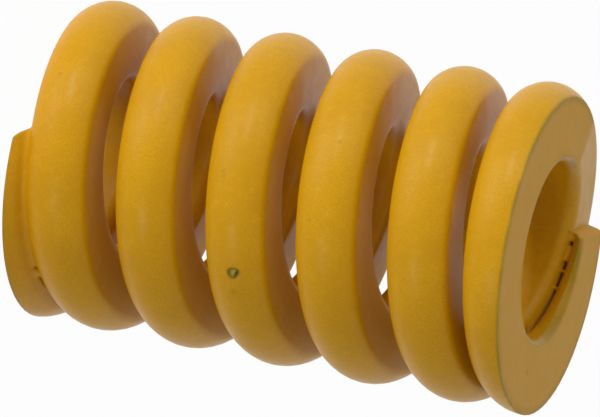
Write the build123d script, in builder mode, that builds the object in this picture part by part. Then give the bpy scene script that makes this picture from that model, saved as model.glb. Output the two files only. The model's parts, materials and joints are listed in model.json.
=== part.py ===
"""Die spring: shaped wire coiled right-handed, its end coils closed and ground flat.

Millimetres. The spring stands on its bottom ground face, with its axis along +Z
and the origin at the centre of that face.
"""
import os
from math import cos, radians, sin, sqrt

from build123d import *

# The coil
outer_diameter = 15.6  # runs freely in a 16 mm hole
bore_diameter = 8.4  # slides over an 8 mm guide rod
free_length = 25.0
total_turns = 6.553  # closed end coils included
first_tip_angle = 263  # where the wire starts at the bottom, in degrees from +X

# The wire: flat flanks and inner side, crowned outer side
wire_thickness = 2.98  # along the axis
crown_radius = 1.82
outer_corner_radius = 0.6
inner_corner_radius = 0.65
bore_stock = 0.02  # what sizing the bore takes off the inner side

# The closed ends
closed_turns = 0.95  # at each end, to the middle of the change of pitch
pitch_change_turns = 0.3  # over which the coil opens
end_gap = 0.06  # between an end coil and the coil beside it
tip_thickness = 0.47  # left at each end of the wire by grinding
tip_land = 0.06  # of that thickness, left square by the bevel
bottom_bevel_run = 0.45
top_bevel_run = 0.3
cut_margin = 0.2  # that a cutting tool overruns

path_points_per_turn = 24

bore_radius = bore_diameter / 2
outer_radius = outer_diameter / 2
closed_pitch = wire_thickness + end_gap
last_tip_angle = first_tip_angle + 360 * total_turns


def openness(turn):
    """Share of the full opening between coils: 0 in the closed ends, 1 between them."""
    distance_from_end = min(turn, total_turns - turn)
    change = (distance_from_end - closed_turns) / pitch_change_turns + 0.5
    change = min(max(change, 0.0), 1.0)
    return change**2 * (3 - 2 * change)


def coil_points():
    """Points along the middle of the wire, rising by the local pitch."""
    steps = round(total_turns * path_points_per_turn)
    turns_per_step = total_turns / steps
    step_openness = [openness((step + 0.5) * turns_per_step) for step in range(steps)]

    middle_rise = free_length - 2 * tip_thickness + wire_thickness
    opening_rise = middle_rise - closed_pitch * total_turns
    full_opening = opening_rise / (sum(step_openness) * turns_per_step)

    middle_radius = (outer_radius + bore_radius) / 2
    height = tip_thickness - wire_thickness / 2
    points = []
    for step in range(steps + 1):
        angle = radians(first_tip_angle + 360 * step * turns_per_step)
        points.append((middle_radius * cos(angle), middle_radius * sin(angle), height))
        if step < steps:
            height += (closed_pitch + full_opening * step_openness[step]) * turns_per_step
    return points


def radial(angle):
    return Vector(cos(radians(angle)), sin(radians(angle)), 0)


def along_coil(angle):
    return Vector(-sin(radians(angle)), cos(radians(angle)), 0)


with BuildPart() as spring:
    # The wire, swept along the coil
    with BuildLine() as coil:
        Spline(*coil_points())
    wire_start = Plane(coil.line @ 0, x_dir=radial(first_tip_angle), z_dir=coil.line % 0)
    with BuildSketch(wire_start) as wire_section:
        half_thickness = wire_thickness / 2
        crown_tip = (outer_radius - bore_radius) / 2
        inner_side = -crown_tip - bore_stock
        crown_edge = crown_tip - crown_radius + sqrt(crown_radius**2 - half_thickness**2)
        with BuildLine():
            Polyline(
                (crown_edge, half_thickness),
                (inner_side, half_thickness),
                (inner_side, -half_thickness),
                (crown_edge, -half_thickness),
            )
            ThreePointArc(
                (crown_edge, -half_thickness), (crown_tip, 0), (crown_edge, half_thickness)
            )
        make_face()
        fillet(wire_section.vertices().sort_by(Axis.X)[:2], inner_corner_radius)
        fillet(wire_section.vertices().sort_by(Axis.X)[-2:], outer_corner_radius)
    sweep(path=coil.line, is_frenet=True)

    # The bore, sized true, and both ends ground flat
    with Locations((0, 0, free_length)):
        Hole(bore_radius)
    split(bisect_by=Plane.XY, keep=Keep.TOP)
    split(bisect_by=Plane.XY.offset(free_length), keep=Keep.BOTTOM)

    # The bevel at each tip, from the ground face to the land
    for height, angle, inward, run in (
        (0, first_tip_angle, 1, bottom_bevel_run),
        (free_length, last_tip_angle, -1, top_bevel_run),
    ):
        tip = Plane((0, 0, height), x_dir=along_coil(angle) * inward, z_dir=radial(angle))
        with BuildSketch(tip):
            with BuildLine():
                Polyline(
                    (run, 0),
                    (0, tip_thickness - tip_land),
                    (-cut_margin, tip_thickness - tip_land),
                    (-cut_margin, -cut_margin),
                    (run, -cut_margin),
                    close=True,
                )
            make_face()
        extrude(amount=outer_radius + cut_margin, mode=Mode.SUBTRACT)

spring.part.label = "spring"
os.makedirs("parts", exist_ok=True)
export_step(spring.part, "parts/spring.step")
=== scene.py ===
"""A die spring in yellow paint, standing on its bottom ground face.

Metres. The axis of the coil is +Z, through the centre of the bottom face.
"""
import json
import math

import bpy
import numpy as np
from mathutils import Matrix, Vector


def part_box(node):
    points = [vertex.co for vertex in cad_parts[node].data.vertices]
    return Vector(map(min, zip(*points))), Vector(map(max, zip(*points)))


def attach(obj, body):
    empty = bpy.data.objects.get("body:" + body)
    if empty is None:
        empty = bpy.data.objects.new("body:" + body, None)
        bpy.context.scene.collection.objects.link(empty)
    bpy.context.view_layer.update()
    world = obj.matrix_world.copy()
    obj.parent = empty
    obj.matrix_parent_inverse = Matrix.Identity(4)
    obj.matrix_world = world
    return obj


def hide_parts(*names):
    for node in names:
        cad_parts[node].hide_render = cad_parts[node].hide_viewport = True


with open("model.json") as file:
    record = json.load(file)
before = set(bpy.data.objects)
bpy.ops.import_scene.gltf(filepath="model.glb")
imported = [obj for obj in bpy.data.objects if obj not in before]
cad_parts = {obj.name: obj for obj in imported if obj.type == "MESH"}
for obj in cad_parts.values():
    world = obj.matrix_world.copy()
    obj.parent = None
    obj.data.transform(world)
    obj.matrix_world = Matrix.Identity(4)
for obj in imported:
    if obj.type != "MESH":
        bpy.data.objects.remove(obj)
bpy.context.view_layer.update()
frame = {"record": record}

# ---------------------------------------------------------------------------
# The spring: one steel wire of shaped section, coiled right-handed, its end coils
# closed and ground flat down to thin tips, and the whole painted after grinding,
# so that paint rounds every edge and bonds each tip to the coil beside it.
# ---------------------------------------------------------------------------
MM = 0.001
TURN = 2 * math.pi
QUARTER = math.pi / 2
FREE_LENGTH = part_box("spring")[1][2]
OUTER_RADIUS = 7.8 * MM
BORE_RADIUS = frame["record"]["mounts"][0]["dims"]["r_mm"] * MM
MIDDLE_RADIUS = (OUTER_RADIUS + BORE_RADIUS) / 2
TOTAL_TURNS = 6.5707
FIRST_TIP_ANGLE = math.radians(259)
END_GAP = 0.06 * MM  # between a closed end coil and the next
BOTTOM_CLOSED_TURNS = 0.9386  # to the middle of the change of pitch
TOP_CLOSED_TURNS = 1.0135
PITCH_CHANGE_TURNS = 0.3

# The wire's section: a flat inner side with rounded corners, and a round crown outside
WIRE_THICKNESS = 2.98 * MM  # along the axis
WIRE_WIDTH = OUTER_RADIUS - BORE_RADIUS
HALF = WIRE_THICKNESS / 2
CROWN_RADIUS = 1.84 * MM
OUTER_CORNER_RADIUS = 0.62 * MM
INNER_CORNER_RADIUS = 0.65 * MM
CROWN_MIDDLE = WIRE_WIDTH - CROWN_RADIUS  # of the crown's arc, past the bore
CORNER_HEIGHT = HALF - OUTER_CORNER_RADIUS  # of the middle of an outer corner's arc
CORNER_MIDDLE = CROWN_MIDDLE + math.sqrt((CROWN_RADIUS - OUTER_CORNER_RADIUS) ** 2 - CORNER_HEIGHT**2)
CROWN_ANGLE = math.atan2(CORNER_HEIGHT, CORNER_MIDDLE - CROWN_MIDDLE)  # where it meets a corner

# The ground faces and the tips that they thin out to
BOTTOM_TIP_THICKNESS = 0.433 * MM
TOP_TIP_THICKNESS = 0.449 * MM
FEATHER = 0.03 * MM  # thickness at the very end of a tip
TIP_ROUND = 0.02 * MM  # rounding of that end
BOTTOM_RAMP = math.radians(7.9)  # angle round the axis of the painted slope at each tip
TOP_RAMP = math.radians(4.0)
BOTTOM_STRAIGHT = 0.6  # share of a straight line in that slope
TOP_STRAIGHT = 0.3
TOP_TILT = np.array([0.0194, -0.0044])  # the top face is ground a little out of square
TOP_TILT_DEPTH = 1.2 * MM  # below the top face, where the tilt fades out
TOP_RIM_SHARE = 0.99  # of the outer radius, out to where the top face reaches
GROUND_OUTER_RADIUS = 0.06 * MM  # of the painted edges round the ground faces
GROUND_INNER_RADIUS = 0.42 * MM

# The paint that bonds a tip to the next coil. Slits stay open in the bond: each runs
# from one place to another, in turns from the tip, and fades out past and within its ends.
BOTTOM_BOND_END = 0.3
BOTTOM_BOND_TAPER = 0.1
BOTTOM_VALLEY = (0.02, 0.12)  # where the wide groove by the tip narrows
BOTTOM_SLITS = ((0.1735, 0.1805), (0.191, BOTTOM_BOND_END + 0.01))
BOTTOM_SLIT_FADE = (0.0015, 0.003)
TOP_BOND_END = 0.24
TOP_BOND_TAPER = 0.08
TOP_VALLEY = (0.01, 0.06)
TOP_SLITS = ((0.0185, 0.0255), (0.052, 0.066), (0.07, 0.096), (0.1, TOP_BOND_END + 0.01))
TOP_SLIT_FADE = (0.0018, 0.002)
VALLEY_RADIUS = 0.25 * MM
LEAST_GAP = 0.02 * MM
FILLET_PAST_GAP = 0.1 * MM
STRETCH_PAST_GAP = 0.06 * MM
STRETCH_FROM = HALF - 0.55 * MM  # height from which the outline is drawn out to the next coil
TUCK = 0.012 * MM  # how deep its drawn out end lies under the next coil's surface
TUCK_RUN = 0.03 * MM
SLIT_HALF_WIDTH = 0.08 * MM
SLIT_DEPTH = 0.3 * MM

# The pit: a small chip in the paint, a little over three turns from the bottom tip
PIT_ANGLE = math.radians(299.6)
PIT_HEIGHT = 11.83 * MM
PIT_TURN = 3 + (PIT_ANGLE - FIRST_TIP_ANGLE) / TURN
PIT_HALF_WIDTH = 0.27 * MM
PIT_DEPTH = 0.11 * MM
PIT_DIP = 0.004 * MM  # of the paint round the pit
PIT_NARROWING = (1.15, 0.97)  # round the coil and along the axis

# Points round the wire's section
SIDE_POINTS = 84
FLAT_POINTS = 6
CORNER_POINTS = 14
INNER_POINTS = 7
CORNER_SHARE = 0.24  # of the outer side's points, on each of its corners


def smooth_step(value, start, end):
    """Rises from 0 at start to 1 at end as the cubic 3t^2 - 2t^3."""
    t = np.clip((value - start) / (end - start), 0, 1)
    return t * t * (3 - 2 * t)


def coil_heights(turns, end_height):
    """Height of the wire's middle at each turn.

    The rise per turn is the closed pitch at both ends and eases, as a smooth
    step, into one open pitch that brings the last tip up to end_height.
    """
    half_change = PITCH_CHANGE_TURNS / 2
    left = TOTAL_TURNS - turns
    openness = smooth_step(turns, BOTTOM_CLOSED_TURNS - half_change, BOTTOM_CLOSED_TURNS + half_change)
    openness *= smooth_step(left, TOP_CLOSED_TURNS - half_change, TOP_CLOSED_TURNS + half_change)
    closed_rise = (WIRE_THICKNESS + END_GAP) * turns
    opening = np.concatenate([[0], np.cumsum((openness[1:] + openness[:-1]) / 2 * np.diff(turns))])
    start = BOTTOM_TIP_THICKNESS - HALF
    full_opening = (end_height - start - closed_rise[-1]) / opening[-1]
    return start + closed_rise + full_opening * opening


def between(first, last, count):
    """Points at even steps from one column of points to another, with both left out."""
    share = np.linspace(0, 1, count + 2)[1:-1]
    return first * (1 - share) + last * share


def wire_outline(cut_low, cut_high, edges, inset):
    """Outline of the cut wire at each station: radius past the bore, and height.

    The outer side is drawn by the direction of its normal, from straight down to
    straight up. Its middle arc is the crown, and the arcs beyond are the corners to
    the flanks. The curve is drawn one edge radius inside the wire, its normal is held
    where a cut plane crosses it, and the edge radius is added along the free normal,
    which rounds the cut. Flats then lead to the two inner corners and the inner side.
    Inset shrinks the whole outline, but an inner corner keeps at least a fifth of its radius.
    """
    outer_edge, low_inner, high_inner = edges
    least_round = 0.2
    bottom = np.maximum(cut_low, -HALF)
    top = np.minimum(cut_high, HALF)

    def held_at(height):
        """Direction of the inner curve's normal at a height: arcsin(rise past the arc's middle / radius)."""
        on_crown = np.arcsin(np.clip(np.abs(height) / (CROWN_RADIUS - outer_edge), 0, 1))
        past_corner = (np.abs(height) - CORNER_HEIGHT) / (OUTER_CORNER_RADIUS - outer_edge)
        on_corner = np.arcsin(np.clip(past_corner, -1, 1))
        return (np.sign(height) * np.where(on_crown < CROWN_ANGLE, on_crown, on_corner))[:, None]

    share = np.linspace(0, 1, SIDE_POINTS)
    changes = [0, CORNER_SHARE, 1 - CORNER_SHARE, 1]
    free = np.interp(share, changes, [-QUARTER, -CROWN_ANGLE, CROWN_ANGLE, QUARTER])
    held = np.clip(free, held_at(bottom + outer_edge), held_at(top - outer_edge))
    on_corner = np.abs(held) > CROWN_ANGLE
    reach = np.where(on_corner, OUTER_CORNER_RADIUS, CROWN_RADIUS) - outer_edge[:, None]
    rounding = (outer_edge - inset)[:, None]
    side_out = np.where(on_corner, CORNER_MIDDLE, CROWN_MIDDLE)
    side_out = side_out + reach * np.cos(held) + rounding * np.cos(free)
    side_up = np.where(on_corner, np.sign(held) * CORNER_HEIGHT, 0)
    side_up = side_up + reach * np.sin(held) + rounding * np.sin(free)

    bottom = (bottom + inset)[:, None]
    top = (top - inset)[:, None]
    inner = inset[:, None]
    bend = np.linspace(QUARTER, math.pi, CORNER_POINTS)
    high_round = np.maximum(high_inner - inset, least_round * high_inner)[:, None]
    high_out = inner + high_round * (1 + np.cos(bend))
    high_up = top - high_round * (1 - np.sin(bend))
    low_round = np.maximum(low_inner - inset, least_round * low_inner)[:, None]
    low_out = inner + low_round * (1 + np.cos(bend[::-1]))
    low_up = bottom + low_round * (1 - np.sin(bend[::-1]))
    top_out = between(side_out[:, -1:], high_out[:, :1], FLAT_POINTS)
    bottom_out = between(low_out[:, -1:], side_out[:, :1], FLAT_POINTS)
    inner_up = between(high_up[:, -1:], low_up[:, :1], INNER_POINTS)
    inner_out = np.broadcast_to(inner, inner_up.shape)
    top_up = np.broadcast_to(top, top_out.shape)
    bottom_up = np.broadcast_to(bottom, bottom_out.shape)
    out = np.hstack([side_out, top_out, high_out, inner_out, low_out, bottom_out])
    up = np.hstack([side_up, top_up, high_up, inner_up, low_up, bottom_up])
    return out, up


def outer_profile(past, fillet, gap):
    """Reach of the outer side past the bore, at a height past the middle of an end gap.

    The crown has radius R and its middle m past the bore. The corner has radius c, and
    its middle k past the bore and g from the wire's middle. At height h from the wire's
    middle, the wire reaches m + sqrt(R^2 - h^2) on the crown and k + sqrt(c^2 - (h - g)^2)
    on the corner. Paint of radius f fills the groove between two coils tangent to both:
    m + sqrt((R + f)^2 - H^2) - sqrt(f^2 - past^2), with H from a middle to the middle of
    the gap, or the same with k and c if f is small. Its height past the middle of the
    gap, where it ends on the wire, comes with the reach.
    """
    height = HALF + gap / 2 - np.abs(past)
    change = CROWN_RADIUS * math.sin(CROWN_ANGLE)
    on_crown = CROWN_MIDDLE + np.sqrt(CROWN_RADIUS**2 - np.clip(height, 0, CROWN_RADIUS) ** 2)
    past_corner = np.clip(height - CORNER_HEIGHT, 0, OUTER_CORNER_RADIUS)
    on_corner = CORNER_MIDDLE + np.sqrt(OUTER_CORNER_RADIUS**2 - past_corner**2)
    wire = np.where(height < change, on_crown, on_corner)
    wide = fillet > CROWN_RADIUS * ((HALF + gap / 2) / change - 1)
    round_radius = np.where(wide, CROWN_RADIUS, OUTER_CORNER_RADIUS)
    round_middle = np.where(wide, CROWN_MIDDLE, CORNER_MIDDLE)
    rise = np.where(wide, HALF, OUTER_CORNER_RADIUS) + gap / 2
    touch = rise * fillet / (round_radius + fillet)
    to_fillet = (round_radius + fillet) ** 2 - rise**2
    fillet_middle = round_middle + np.sqrt(np.maximum(to_fillet, 0))
    filled = fillet_middle - np.sqrt(np.maximum(fillet**2 - past**2, 0))
    return np.where(np.abs(past) < touch, filled, wire), touch


def inner_profile(past, fillet, gap):
    """Depth of the bore side behind the bore, at a height past the middle of an end gap.

    With c the inner corner's radius, f the fillet's and r = c + gap/2, the depth is
    c - sqrt(c^2 - (r - |past|)^2), and c - sqrt((c + f)^2 - r^2) + sqrt(f^2 - past^2)
    where the paint's fillet lies.
    """
    rise = INNER_CORNER_RADIUS + gap / 2
    into_corner = np.clip(rise - np.abs(past), 0, INNER_CORNER_RADIUS)
    wire = INNER_CORNER_RADIUS - np.sqrt(INNER_CORNER_RADIUS**2 - into_corner**2)
    touch = rise * fillet / (INNER_CORNER_RADIUS + fillet)
    to_fillet = (INNER_CORNER_RADIUS + fillet) ** 2 - rise**2
    fillet_middle = INNER_CORNER_RADIUS - np.sqrt(np.maximum(to_fillet, 0))
    filled = fillet_middle + np.sqrt(np.maximum(fillet**2 - past**2, 0))
    return np.where(np.abs(past) < touch, filled, wire)


def stretched(up, stretch):
    """Heights drawn out past a flank: up + stretch t^2, with t 0 at STRETCH_FROM and 1 at HALF."""
    share = np.clip((up - STRETCH_FROM) / (HALF - STRETCH_FROM), 0, None)
    return up + stretch * share**2


def unstretched(up, stretch):
    """The height that stretched() takes to up.

    It is STRETCH_FROM + span t, with t the root of stretch t^2 + span t = up - STRETCH_FROM.
    """
    span = HALF - STRETCH_FROM
    beyond = np.maximum(up - STRETCH_FROM, 0)
    share = 2 * beyond / (span + np.sqrt(span**2 + 4 * stretch * beyond))
    return np.where(up > STRETCH_FROM, STRETCH_FROM + span * share, up)


def closed_tube(name, points, shading):
    """A mesh from a grid of rings: quads between rings and a fan over each end."""
    rings, around = points.shape[:2]
    middles = np.stack([points[0].mean(axis=0), points[-1].mean(axis=0)])
    vertices = np.vstack([points.reshape(-1, 3), middles])
    ring, place = np.meshgrid(np.arange(rings - 1), np.arange(around), indexing="ij")
    beside = (place + 1) % around
    quads = np.stack([
        ring * around + place, (ring + 1) * around + place,
        (ring + 1) * around + beside, ring * around + beside,
    ], axis=-1).reshape(-1, 4)
    place = np.arange(around)
    beside = (place + 1) % around
    last = (rings - 1) * around
    first_fan = np.stack([place, beside, np.full(around, rings * around)], axis=-1)
    last_fan = np.stack([last + beside, last + place, np.full(around, rings * around + 1)], axis=-1)
    corners = np.concatenate([quads.ravel(), first_fan.ravel(), last_fan.ravel()])
    sizes = np.concatenate([np.full(len(quads), 4), np.full(2 * around, 3)])
    starts = np.concatenate([[0], np.cumsum(sizes)[:-1]])

    mesh = bpy.data.meshes.new(name)
    mesh.vertices.add(len(vertices))
    mesh.vertices.foreach_set("co", vertices.astype(np.float32).ravel())
    mesh.loops.add(len(corners))
    mesh.loops.foreach_set("vertex_index", corners.astype(np.int32))
    mesh.polygons.add(len(sizes))
    mesh.polygons.foreach_set("loop_start", starts.astype(np.int32))
    mesh.polygons.foreach_set("use_smooth", np.ones(len(sizes), dtype=bool))
    mesh.update(calc_edges=True)
    mesh.validate()
    for key, values in shading.items():
        attribute = mesh.attributes.new(key, "FLOAT", "POINT")
        padded = np.concatenate([values.ravel(), [values[0].mean(), values[-1].mean()]])
        attribute.data.foreach_set("value", padded.astype(np.float32))
    piece = bpy.data.objects.new(name, mesh)
    bpy.context.scene.collection.objects.link(piece)
    return piece


def slope(along, length, straight):
    """Falls from 1 to 0 along a length: straight times a line, and the rest a smooth step."""
    line = 1 - np.clip(along / length, 0, 1)
    return straight * line + (1 - straight) * (1 - smooth_step(along, 0, length))


def tip_bond(from_tip, gap, bond_end, taper, valley, slits, slit_fade):
    """The paint in the groove beside a tip: its gap, fillet radius, stretch and slits.

    The bond is 1 from the tip and fades out over the taper. The fillet is the valley's
    radius by the tip and then a little over half the gap, and the stretch draws the wire
    out across the gap's middle, to just past the fillet's far end. A slit is a step up
    and a step down along the groove.
    """
    bond = 1 - smooth_step(from_tip, bond_end - taper, bond_end)
    gap = np.where(bond > 0, np.clip(gap, LEAST_GAP, None), END_GAP)
    wide = VALLEY_RADIUS * (1 - smooth_step(from_tip, *valley))
    fillet = bond * np.maximum(wide, gap / 2 + FILLET_PAST_GAP)
    stretch = bond * (gap / 2 + STRETCH_PAST_GAP) + outer_profile(0, fillet, gap)[1]
    past, within = slit_fade
    slit = np.zeros_like(from_tip)
    for start, end in slits:
        opened = smooth_step(from_tip, start - past, start + within)
        opened -= smooth_step(from_tip, end - within, end + past)
        slit = np.maximum(slit, opened)
    return gap, fillet, stretch, slit


def spread(start, *stretches):
    """Stations after start, at even steps over stretches given by their end and count."""
    rows = [np.array([start])]
    for end, count in stretches:
        rows.append(np.linspace(rows[-1][-1], end, count)[1:])
    return np.concatenate(rows[1:])


# Stations along the wire in turns, closer together at the tips, the slits and the pit
tip_rows = TIP_ROUND * (1 - np.cos(np.linspace(0, QUARTER, 4))) / (TURN * MIDDLE_RADIUS)
bottom_rows = np.append(tip_rows, spread(tip_rows[-1], (0.03, 26), (0.11, 16), (0.195, 50)))
top_rows = TOTAL_TURNS - np.append(tip_rows, spread(tip_rows[-1], (0.06, 90), (0.12, 50)))
plain_rows = np.linspace(bottom_rows[-1], top_rows[-1], 490)[1:-1]
plain_rows = plain_rows[np.abs(plain_rows - PIT_TURN) > 0.01]
pit_rows = PIT_TURN + np.linspace(-0.009, 0.009, 23)
turns = np.sort(np.concatenate([bottom_rows, plain_rows, pit_rows, top_rows]))
from_end = TOTAL_TURNS - turns
angle = FIRST_TIP_ANGLE + TURN * turns

# Heights of the wire's middle, of the top face at the wire's middle, and the end gaps
top_middle = FREE_LENGTH - TOP_RIM_SHARE * OUTER_RADIUS * np.hypot(*TOP_TILT)
tilt_along = MIDDLE_RADIUS * (TOP_TILT[0] * np.cos(angle) + TOP_TILT[1] * np.sin(angle))
end_height = top_middle + tilt_along[-1] - TOP_TIP_THICKNESS + HALF
heights = coil_heights(turns, end_height)
high_gap = np.interp(turns + 1, turns, heights) - heights - WIRE_THICKNESS
low_gap = heights - np.interp(turns - 1, turns, heights) - WIRE_THICKNESS
high_gap, high_fillet, high_stretch, high_slit = tip_bond(
    turns, high_gap, BOTTOM_BOND_END, BOTTOM_BOND_TAPER, BOTTOM_VALLEY, BOTTOM_SLITS, BOTTOM_SLIT_FADE
)
low_gap, low_fillet, low_stretch, low_slit = tip_bond(
    from_end, low_gap, TOP_BOND_END, TOP_BOND_TAPER, TOP_VALLEY, TOP_SLITS, TOP_SLIT_FADE
)

# The cut planes, which rise or fall at each tip, where paint makes a slope
bottom_rise = heights[0] + HALF + high_stretch[0] - FEATHER
bottom_cut = slope(turns * TURN, BOTTOM_RAMP, BOTTOM_STRAIGHT) * bottom_rise - heights
top_cut = top_middle + tilt_along
top_fall = top_cut[-1] - heights[-1] + HALF + low_stretch[-1] - FEATHER
top_cut = top_cut - slope(from_end * TURN, TOP_RAMP, TOP_STRAIGHT) * top_fall - heights

# The cut wire, with its edges rounded as far as what is left of it allows
ground_run = 0.2 * MM
low_ground = smooth_step(bottom_cut, -HALF, -HALF + ground_run)
high_ground = smooth_step(-top_cut, -HALF, -HALF + ground_run)
cut_low = unstretched(bottom_cut, high_stretch)
cut_high = -unstretched(-top_cut, low_stretch)
left = np.minimum(cut_high, HALF) - np.maximum(cut_low, -HALF)
inner_rise = GROUND_INNER_RADIUS - INNER_CORNER_RADIUS
most_edge = 0.45 * left
edges = (
    np.minimum(GROUND_OUTER_RADIUS, most_edge),
    np.minimum(INNER_CORNER_RADIUS + inner_rise * low_ground, most_edge),
    np.minimum(INNER_CORNER_RADIUS + inner_rise * high_ground, most_edge),
)
to_tip = np.minimum(turns, from_end) * TURN * MIDDLE_RADIUS
tip_inset = TIP_ROUND * (1 - np.sqrt(1 - (1 - np.clip(to_tip / TIP_ROUND, 0, 1)) ** 2))
out, up = wire_outline(cut_low, cut_high, edges, np.minimum(tip_inset, 0.4 * left))

# The wire drawn out past its flanks, where paint bonds it to the next coil
around_wire = np.arange(out.shape[1])
inner_start = SIDE_POINTS + FLAT_POINTS
outside = around_wire < SIDE_POINTS
inside = (around_wire >= inner_start) & (around_wire < inner_start + 2 * CORNER_POINTS + INNER_POINTS)
slit_share = np.zeros_like(out)
for sign, stretch, fillet, gap, slit in (
    (1, high_stretch, high_fillet, high_gap, high_slit),
    (-1, low_stretch, low_fillet, low_gap, low_slit),
):
    stretch, fillet, gap, slit = (row[:, None] for row in (stretch, fillet, gap, slit))
    bonded = (stretch > 0) & (up * sign > STRETCH_FROM)
    plain = outer_profile(up * sign - HALF - gap / 2, 0, gap)[0]
    up = np.where(bonded, sign * stretched(up * sign, stretch), up)
    past = up * sign - HALF - gap / 2
    painted, touch = outer_profile(past, fillet, gap)
    slit_here = slit * np.exp(-((past / SLIT_HALF_WIDTH) ** 2))
    slit_share = np.where(bonded, np.maximum(slit_share, slit_here), slit_share)
    depth = TUCK * smooth_step(past, 0.5 * touch, touch + TUCK_RUN) + SLIT_DEPTH * slit_here
    out = np.where(bonded & outside, painted - depth + np.minimum(out - plain, 0), out)
    out = np.where(bonded & inside, np.maximum(inner_profile(past, fillet, gap) + depth, out), out)
top_flat = slice(SIDE_POINTS, inner_start)
out[:, top_flat] = between(out[:, SIDE_POINTS - 1, None], out[:, inner_start, None], FLAT_POINTS)
out[:, -FLAT_POINTS:] = between(out[:, -FLAT_POINTS - 1, None], out[:, :1], FLAT_POINTS)

# Points of the coil, with the top face tilted about the wire's middle
radius = BORE_RADIUS + out
around = angle[:, None]
x = radius * np.cos(around)
y = radius * np.sin(around)
z = heights[:, None] + up
tilt_share = smooth_step(up, top_cut[:, None] - TOP_TILT_DEPTH, top_cut[:, None])
tilt_here = TOP_TILT[0] * x + TOP_TILT[1] * y - tilt_along[:, None]
z = z + tilt_here * tilt_share * high_ground[:, None]

# The pit, a dish with a flat floor and an uneven edge
across_pit = ((around - PIT_ANGLE + math.pi) % TURN - math.pi) * OUTER_RADIUS * PIT_NARROWING[0]
up_pit = (z - PIT_HEIGHT) * PIT_NARROWING[1]
from_pit = np.hypot(across_pit, up_pit)
bearing = np.arctan2(up_pit, across_pit)
pit_edge = PIT_HALF_WIDTH * (1 + 0.12 * np.cos(2 * bearing + 0.6) + 0.06 * np.cos(3 * bearing))
on_crown = radius > OUTER_RADIUS - 0.6 * MM
pit_share = (1 - smooth_step(from_pit, 0.62 * pit_edge, 1.05 * pit_edge)) * on_crown
dip_share = np.exp(-(((from_pit - 1.25 * pit_edge) / (0.3 * PIT_HALF_WIDTH)) ** 2)) * on_crown
radius = radius - PIT_DEPTH * pit_share - PIT_DIP * dip_share
x = radius * np.cos(around)
y = radius * np.sin(around)

# What the paint's colour follows: the pit, the ground faces, and the edges round them
shade_bearing = 1.2
towards_shade = np.cos(bearing - shade_bearing) * from_pit / pit_edge
pit_dark = pit_share**0.5 * smooth_step(towards_shade, 0, 0.45)
pit_rim = np.exp(-(((from_pit - 0.92 * pit_edge) / (0.32 * PIT_HALF_WIDTH)) ** 2)) * on_crown
far = 1
from_cut = np.minimum(
    np.where(high_ground[:, None] > 0, np.abs(top_cut[:, None] - up), far),
    np.where(low_ground[:, None] > 0, np.abs(up - bottom_cut[:, None]), far),
)
ground = 1 - smooth_step(from_cut, 0.01 * MM, 0.05 * MM)
face_reach = np.where(from_cut < 0.005 * MM, out, 0).max(axis=1)[:, None]
outer_edge = np.exp(-(((from_cut - 0.03 * MM) / (0.06 * MM)) ** 2))
outer_edge = outer_edge * smooth_step(out, face_reach - 0.1 * MM, face_reach)
# inner_edge: the band where a ground face rounds into the bore, which the paint darkens as painted shade
inner_edge = np.exp(-((from_cut / (0.3 * MM)) ** 2)) * (1 - smooth_step(out, 0.15 * MM, 0.5 * MM))
shading = {
    "ground_face": ground, "outer_edge": outer_edge, "inner_edge": inner_edge,
    "pit": pit_share, "pit_dark": pit_dark, "pit_rim": pit_rim, "slit": slit_share,
}
spring = closed_tube("painted_wire", np.stack([x, y, z], axis=-1), shading)

# The paint: satin yellow, thin and greenish along the ground faces' outer edges, with painted shade
# where they round into the bore, duller and tan on the ground faces with a painted sheen, painted dark
# as shade in the slits, and dark at the rim of the pit, with painted shade on one side of it
PAINT_YELLOW = (0.71, 0.359, 0.0025, 1)
PAINT_DEEP = (0.65, 0.323, 0.0018, 1)
PAINT_GRAIN = (0.60, 0.295, 0.0015, 1)
PAINT_PALE = (0.75, 0.393, 0.004, 1)
# thin paint on the outer ground edges, and painted shade on the edges into the bore
THIN_PAINT_AND_EDGE_SHADE = (0.26, 0.19, 0.008, 1)
GROUND_TAN_AND_SHEEN = (0.67, 0.35, 0.035, 1)
# painted shade at the bottom of the slits
SLIT_SHADE_BROWN = (0.09, 0.022, 0.002, 1)
PIT_FLOOR = (0.6, 0.46, 0.02, 1)
PIT_RIM = (0.12, 0.085, 0.006, 1)
PIT_SHADE = (0.035, 0.012, 0.004, 1)
MARK_OLIVE = (0.16, 0.115, 0.008, 1)
paint = bpy.data.materials.new("yellow_spring_paint")
paint.use_nodes = True
nodes, links = paint.node_tree.nodes, paint.node_tree.links
shader = nodes["Principled BSDF"]
place = nodes.new("ShaderNodeTexCoord").outputs["Object"]


def noise(scale, detail):
    """Noise in object coordinates, with its scale in waves per millimetre."""
    node = nodes.new("ShaderNodeTexNoise")
    node.inputs["Scale"].default_value = scale / MM
    node.inputs["Detail"].default_value = detail
    node.inputs["Roughness"].default_value = 0.55
    links.new(place, node.inputs["Vector"])
    return node.outputs["Fac"]


def remap(value, from_low, from_high, to_low=0, to_high=1):
    """A smooth step from to_low, where value is from_low, to to_high at from_high."""
    node = nodes.new("ShaderNodeMapRange")
    node.interpolation_type = "SMOOTHSTEP"
    node.inputs["From Min"].default_value = from_low
    node.inputs["From Max"].default_value = from_high
    node.inputs["To Min"].default_value = to_low
    node.inputs["To Max"].default_value = to_high
    links.new(value, node.inputs["Value"])
    return node.outputs["Result"]


def mixed(share, first, second):
    """The first colour, turned into the second by a share from 0 to 1."""
    node = nodes.new("ShaderNodeMix")
    node.data_type = "RGBA"
    links.new(share, node.inputs[0])
    for value, socket in ((first, node.inputs[6]), (second, node.inputs[7])):
        if isinstance(value, tuple):
            socket.default_value = value
        else:
            links.new(value, socket)
    return node.outputs[2]


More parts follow.
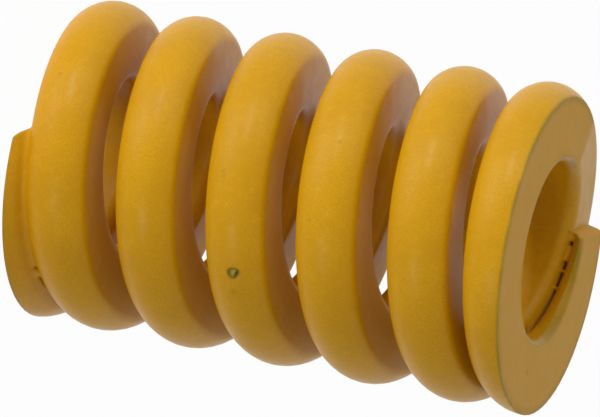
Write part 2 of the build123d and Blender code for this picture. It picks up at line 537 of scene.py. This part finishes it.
def combined(operation, first, second):
    """The sum, product or maximum of two numbers."""
    node = nodes.new("ShaderNodeMath")
    node.operation = operation
    for value, socket in ((first, node.inputs[0]), (second, node.inputs[1])):
        if isinstance(value, (int, float)):
            socket.default_value = value
        else:
            links.new(value, socket)
    return node.outputs[0]


def attribute(name):
    """A number stored at the mesh's points."""
    node = nodes.new("ShaderNodeAttribute")
    node.attribute_name = name
    return node.outputs["Fac"]


cloud = noise(0.35, 3)
mottle = noise(2.2, 4)
grain = noise(14, 2)
color = mixed(remap(cloud, 0.35, 0.7), PAINT_YELLOW, PAINT_DEEP)
color = mixed(remap(mottle, 0.45, 0.75, 0, 0.55), color, PAINT_PALE)
color = mixed(remap(grain, 0.4, 0.65, 0, 0.7), color, PAINT_GRAIN)
ground_face = attribute("ground_face")
# The ground faces turn tan and paler in blue: partly their duller paint, partly a painted sheen.
color = mixed(combined("MULTIPLY", ground_face, 0.8), color, GROUND_TAN_AND_SHEEN)
worn = combined("MULTIPLY", attribute("outer_edge"), remap(noise(0.8, 3), 0.3, 0.6, 0.25, 0.65))
color = mixed(worn, color, THIN_PAINT_AND_EDGE_SHADE)
# Where the ground faces round into the bore, the paint is darkened to olive: painted shade.
bore_edge_shade = combined("MULTIPLY", attribute("inner_edge"), remap(noise(0.6, 2), 0.35, 0.65, 0.35, 0.65))
color = mixed(bore_edge_shade, color, THIN_PAINT_AND_EDGE_SHADE)

# Small marks in the paint: degrees round the axis, height, radius and size in mm, darkness
marks = (
    (246.0, 6.75, 7.75, 0.16, 0.1), (264.4, 10.73, 7.75, 0.12, 0.16), (266.1, 10.82, 7.75, 0.09, 0.12),
    (275.6, 15.31, 7.78, 0.12, 0.2), (240.9, 1.49, 7.7, 0.12, 0.3), (236.7, 23.92, 7.7, 0.1, 0.25),
    (306.9, 11.80, 7.78, 0.16, 0.18), (246.6, 15.85, 7.75, 0.12, 0.16), (255.2, 24.62, 7.4, 0.18, 0.5),
    (253.6, 24.70, 7.3, 0.12, 0.4), (230.6, 24.9, 5.76, 0.14, 0.35), (174.9, 24.85, 4.64, 0.1, 0.35),
    (352.6, 25.0, 5.83, 0.2, 0.2), (245.3, 20.36, 7.75, 0.14, 0.08),
)
wobble = nodes.new("ShaderNodeTexNoise")
wobble.inputs["Scale"].default_value = 9 / MM
links.new(place, wobble.inputs["Vector"])
wobble_width = 0.14 * MM
centred = nodes.new("ShaderNodeVectorMath")
centred.operation = "ADD"
links.new(place, centred.inputs[0])
centred.inputs[1].default_value = (-wobble_width / 2,) * 3
ragged = nodes.new("ShaderNodeVectorMath")
ragged.operation = "MULTIPLY_ADD"
links.new(wobble.outputs["Color"], ragged.inputs[0])
ragged.inputs[1].default_value = (wobble_width,) * 3
links.new(centred.outputs[0], ragged.inputs[2])
marked = None
for degrees, up_mm, out_mm, size, darkness in marks:
    mark_angle = math.radians(degrees)
    mark = np.array([out_mm * math.cos(mark_angle), out_mm * math.sin(mark_angle), up_mm]) * MM
    spot = nodes.new("ShaderNodeVectorMath")
    spot.operation = "DISTANCE"
    links.new(ragged.outputs[0], spot.inputs[0])
    spot.inputs[1].default_value = mark.tolist()
    near = remap(spot.outputs["Value"], 0.3 * size * MM, 1.4 * size * MM, darkness, 0)
    marked = near if marked is None else combined("MAXIMUM", marked, near)
color = mixed(marked, color, MARK_OLIVE)
# The slits are painted dark brown: painted shade in the gaps between the coils.
color = mixed(remap(attribute("slit"), 0.15, 0.85, 0, 0.85), color, SLIT_SHADE_BROWN)
pit = attribute("pit")
color = mixed(remap(pit, 0.3, 0.9), color, PIT_FLOOR)
color = mixed(combined("MULTIPLY", attribute("pit_rim"), 0.8), color, PIT_RIM)
color = mixed(combined("MULTIPLY", attribute("pit_dark"), 0.95), color, PIT_SHADE)
links.new(color, shader.inputs["Base Color"])

gloss = remap(noise(1.3, 3), 0.3, 0.7, 0.34, 0.41)
gloss = combined("ADD", gloss, combined("MULTIPLY", ground_face, 0.2))
gloss = combined("ADD", gloss, combined("MULTIPLY", marked, 0.15))
links.new(gloss, shader.inputs["Roughness"])
shader.inputs["Specular IOR Level"].default_value = 0.19

# Relief of the paint in millimetres: waves, orange peel, grain, and the marks
height = combined("MULTIPLY", noise(0.5, 2), 0.03)
height = combined("ADD", height, combined("MULTIPLY", noise(2.5, 3), 0.004))
height = combined("ADD", height, combined("MULTIPLY", noise(11, 2), 0.0006))
ground_grain = combined("MULTIPLY", ground_face, noise(16, 2))
height = combined("ADD", height, combined("MULTIPLY", ground_grain, 0.004))
height = combined("ADD", height, combined("MULTIPLY", marked, 0.05))
bump = nodes.new("ShaderNodeBump")
bump.inputs["Strength"].default_value = 1
bump.inputs["Distance"].default_value = MM
links.new(height, bump.inputs["Height"])
links.new(bump.outputs[0], shader.inputs["Normal"])
spring.data.materials.append(paint)
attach(spring, "root")
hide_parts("spring")

# ---------------------------------------------------------------------------
# The floor: a wide pale table top, which is near white to the camera and in what
# the paint mirrors.
# ---------------------------------------------------------------------------
FLOOR_WIDTH = 3
FLOOR_WHITENESS = 0.97
bpy.ops.mesh.primitive_plane_add(size=FLOOR_WIDTH)
floor = bpy.context.object
floor.name = "floor"
table_top = bpy.data.materials.new("pale_table_top")
table_top.use_nodes = True
nodes, links = table_top.node_tree.nodes, table_top.node_tree.links
table_shader = nodes["Principled BSDF"]
table_shader.inputs["Base Color"].default_value = (0.8, 0.8, 0.8, 1)
table_shader.inputs["Roughness"].default_value = 0.9
glow = nodes.new("ShaderNodeEmission")
glow.inputs["Color"].default_value = (1, 1, 1, 1)
glow.inputs["Strength"].default_value = 1


def plainly_seen():
    """1 for rays from the camera and for those mirrored or let through, and 0 for the rest."""
    rays = nodes.new("ShaderNodeLightPath")
    seen = combined("MAXIMUM", rays.outputs["Is Camera Ray"], rays.outputs["Is Glossy Ray"])
    return combined("MAXIMUM", seen, rays.outputs["Is Transmission Ray"])


mix = nodes.new("ShaderNodeMixShader")
links.new(combined("MULTIPLY", plainly_seen(), FLOOR_WHITENESS), mix.inputs["Fac"])
links.new(table_shader.outputs[0], mix.inputs[1])
links.new(glow.outputs[0], mix.inputs[2])
links.new(mix.outputs[0], nodes["Material Output"].inputs["Surface"])
floor.data.materials.append(table_top)
floor.visible_shadow = False

# ---------------------------------------------------------------------------
# The camera: about fourteen spring lengths off, 19 degrees above the table, and
# turned on its side, so that the axis of the spring runs across the picture.
# ---------------------------------------------------------------------------
CAMERA_ELEVATION = 0.3334  # radians
CAMERA_ROLL = 1.7628
CAMERA_DISTANCE = 0.3411
CAMERA_LENS = 432.15  # millimetres
AIM = np.array([0.000299, 0, 0.012120])
sin_e = math.sin(CAMERA_ELEVATION)
cos_e = math.cos(CAMERA_ELEVATION)
sin_r = math.sin(CAMERA_ROLL)
cos_r = math.cos(CAMERA_ROLL)
view_back = np.array([0, -cos_e, sin_e])
level_right = np.array([1, 0, 0])
level_up = np.array([0, sin_e, cos_e])
view_right = cos_r * level_right + sin_r * level_up
view_up = -sin_r * level_right + cos_r * level_up
lens = bpy.data.cameras.new("camera")
lens.lens = CAMERA_LENS
lens.clip_start = 0.01
lens.clip_end = 20
camera = bpy.data.objects.new("camera", lens)
bpy.context.scene.collection.objects.link(camera)
turned = np.eye(4)
turned[:3, 0] = view_right
turned[:3, 1] = view_up
turned[:3, 2] = view_back
turned[:3, 3] = AIM + CAMERA_DISTANCE * view_back
camera.matrix_world = Matrix(turned.tolist())
bpy.context.scene.camera = camera

# ---------------------------------------------------------------------------
# The lights: soft boxes and small lamps half a metre from the spring, in a pale
# room that is plain white to the camera and in what the paint mirrors.
# ---------------------------------------------------------------------------
LAMP_DISTANCE = 0.5
ROOM_STRENGTH = 0.4
SPRING_MIDDLE = Vector((0, 0, FREE_LENGTH / 2))


def soft_box(name, direction, size, power):
    """A square area light that faces the middle of the spring."""
    light = bpy.data.lights.new(name, "AREA")
    light.shape = "SQUARE"
    light.size = size
    light.energy = power
    lamp = bpy.data.objects.new(name, light)
    bpy.context.scene.collection.objects.link(lamp)
    towards = Vector(direction).normalized()
    lamp.location = SPRING_MIDDLE + towards * LAMP_DISTANCE
    lamp.rotation_mode = "QUATERNION"
    lamp.rotation_quaternion = towards.to_track_quat("Z", "Y")


soft_box("main_soft_box", (-0.479, -0.622, -0.613), 0.3, 0.9)
soft_box("upper_lamp", (-0.766, -0.631, -0.042), 0.05, 0.56)
soft_box("lower_lamp", (0.496, -0.842, -0.128), 0.05, 0.24)
soft_box("fill_soft_box", (-0.773, -0.368, 0.458), 0.25, 0.35)
soft_box("back_soft_box", (-0.962, 0.031, -0.210), 0.25, 0.28)
soft_box("left_soft_box", (0.074, 0.074, -0.984), 0.25, 0.35)

room = bpy.data.worlds.new("room")
bpy.context.scene.world = room
room.use_nodes = True
nodes, links = room.node_tree.nodes, room.node_tree.links
background = nodes["Background"]
background.inputs["Color"].default_value = (1, 1, 1, 1)
strength = nodes.new("ShaderNodeMix")
strength.data_type = "FLOAT"
strength.inputs[2].default_value = ROOM_STRENGTH
strength.inputs[3].default_value = 1
links.new(plainly_seen(), strength.inputs[0])
links.new(strength.outputs[0], background.inputs["Strength"])

bpy.context.scene.view_settings.view_transform = "Standard"
